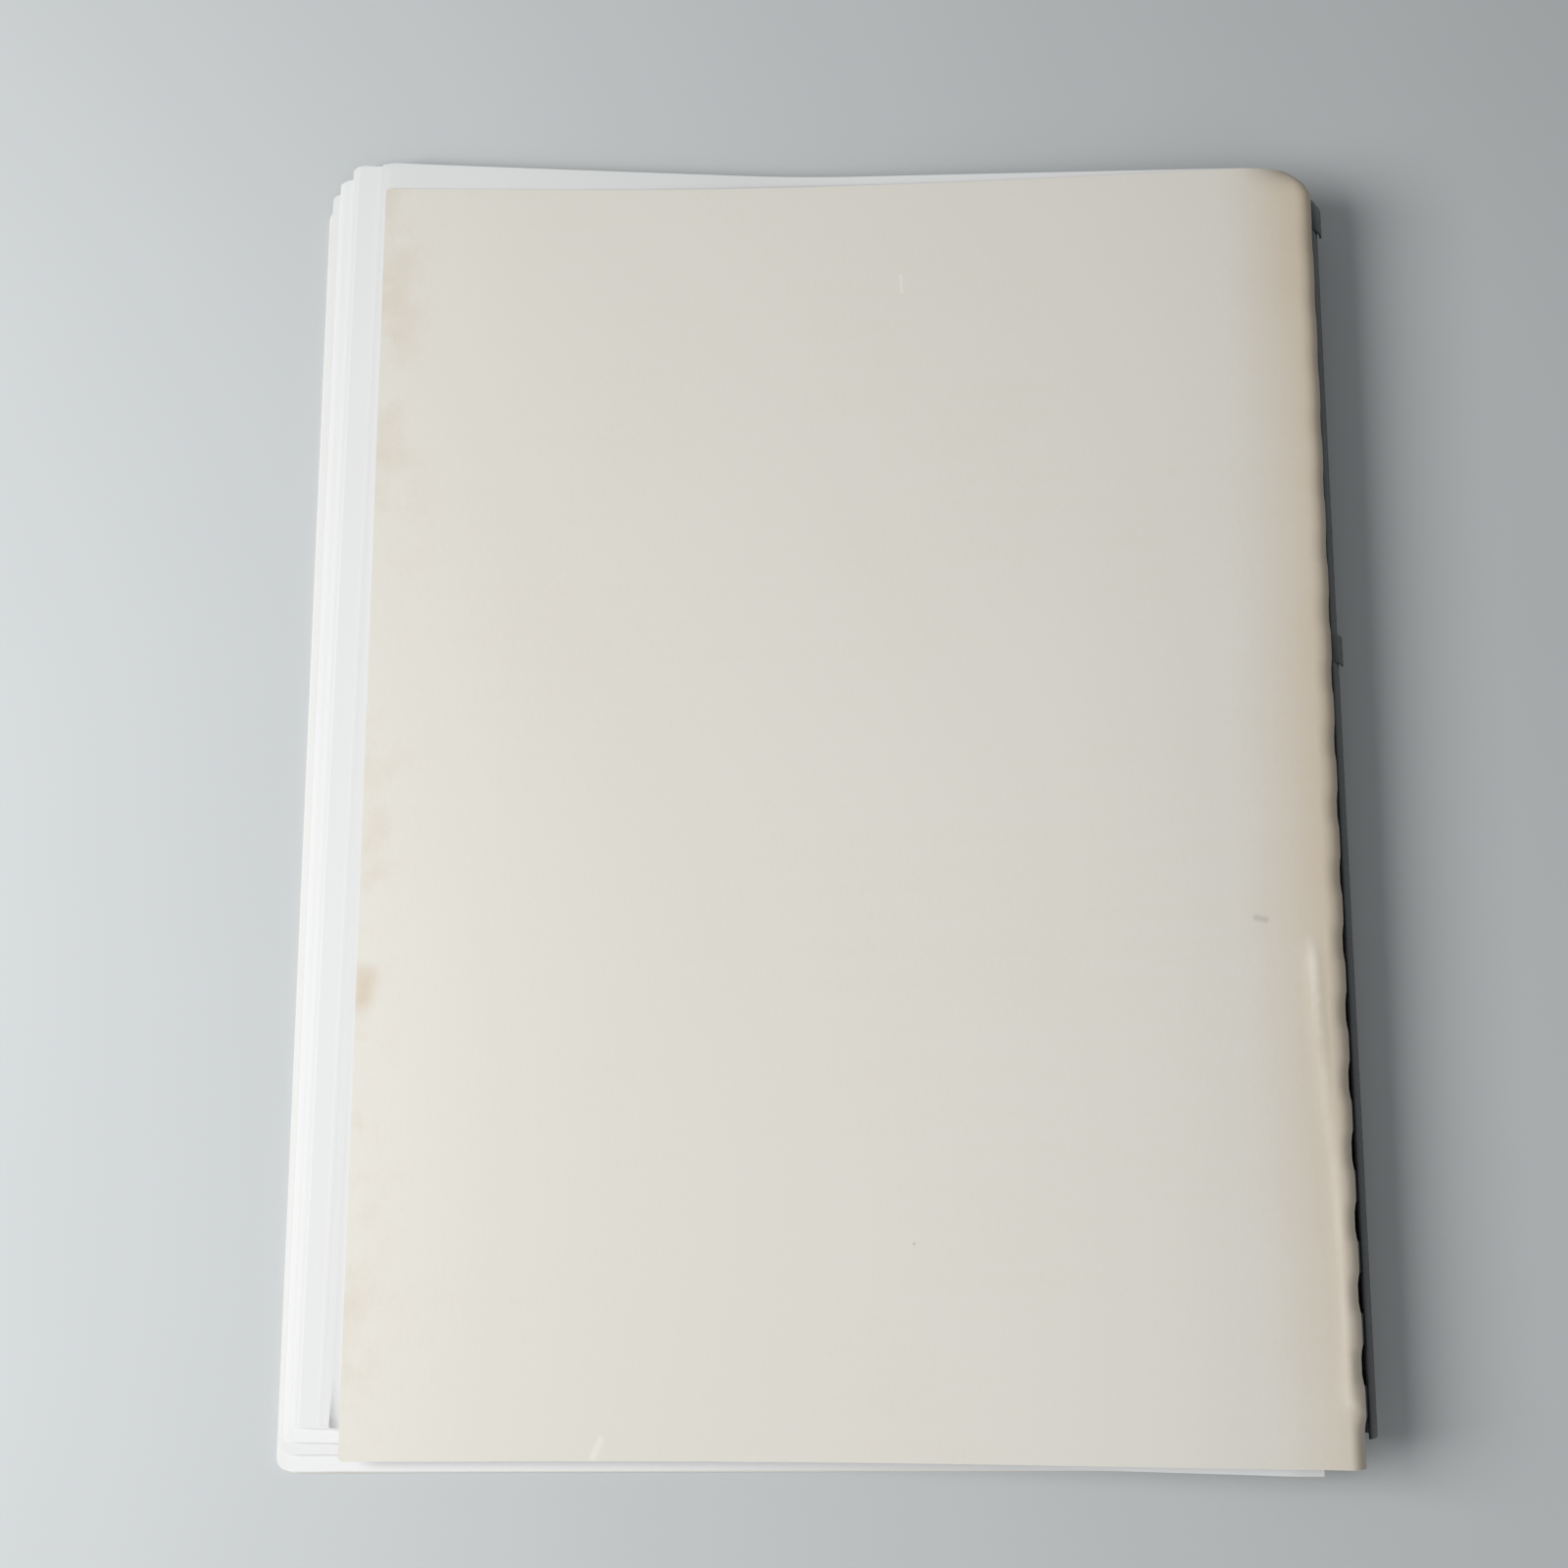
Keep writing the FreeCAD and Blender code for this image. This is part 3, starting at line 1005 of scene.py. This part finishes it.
class BOOK_OT_stage(bpy.types.Operator):
    """Floor, soft light and the camera at the photograph's view"""
    bl_idname = "book.stage"
    bl_label = "Stage"

    def execute(self, context):
        stage = context.scene.book_stage
        deselect()
        bpy.ops.mesh.primitive_plane_add(size=FLOOR_SIZE, location=(0.0, 0.0, -FLOOR_DROP))
        floor = bpy.context.object
        floor.name = "floor"
        set_finish(floor, floor_finish(stage))
        self.add_light("key", stage.key_place, stage.key_size, stage.key_power)
        self.add_light("fill", stage.fill_place, stage.fill_size, stage.fill_power)
        world = bpy.data.worlds.new("soft_world")
        world.use_nodes = True
        background = world.node_tree.nodes["Background"]
        background.inputs["Color"].default_value = rgba(stage.sky)
        background.inputs["Strength"].default_value = stage.sky_strength
        context.scene.world = world
        camera = bpy.data.objects.new("camera", bpy.data.cameras.new("camera"))
        context.scene.collection.objects.link(camera)
        camera.location = stage.camera_place
        camera.rotation_euler = stage.camera_turn
        camera.data.sensor_width = CAMERA_SENSOR
        camera.data.lens = stage.lens
        camera.data.clip_start = CAMERA_NEAR
        context.scene.camera = camera
        context.scene.view_settings.view_transform = "Standard"
        return {"FINISHED"}

    def add_light(self, name, place, size, power):
        """Adds an area light that faces the origin."""
        data = bpy.data.lights.new(name, "AREA")
        data.size = size
        data.energy = power
        lamp = bpy.data.objects.new(name, data)
        lamp.location = place
        lamp.rotation_euler = (-Vector(place)).to_track_quat("-Z", "Y").to_euler()
        bpy.context.scene.collection.objects.link(lamp)


class BOOK_PT_panel(bpy.types.Panel):
    """Lists the book's pieces in the sidebar"""
    bl_idname = "BOOK_PT_panel"
    bl_label = "Comb-bound book"
    bl_space_type = "VIEW_3D"
    bl_region_type = "UI"
    bl_category = "Book"

    def draw(self, context):
        for operator in OPERATORS:
            self.layout.operator(operator.bl_idname)


SETTINGS = {
    "book_sheet": SheetSettings,
    "book_cover": CoverSettings,
    "book_leaf": LeafSettings,
    "book_comb": CombSettings,
    "book_stage": StageSettings,
}
OPERATORS = (BOOK_OT_back_cover, BOOK_OT_front_cover, BOOK_OT_leaves, BOOK_OT_comb, BOOK_OT_stage)


def register():
    for cls in (*SETTINGS.values(), *OPERATORS, BOOK_PT_panel):
        bpy.utils.register_class(cls)
    for name, cls in SETTINGS.items():
        setattr(bpy.types.Scene, name, PointerProperty(type=cls))


def unregister():
    for name in SETTINGS:
        delattr(bpy.types.Scene, name)
    for cls in reversed((*SETTINGS.values(), *OPERATORS, BOOK_PT_panel)):
        bpy.utils.unregister_class(cls)


def main():
    register()
    bpy.ops.book.back_cover()
    bpy.ops.book.front_cover()
    bpy.ops.book.leaves()
    bpy.ops.book.comb()
    bpy.ops.book.stage()


if __name__ == "__main__":
    main()
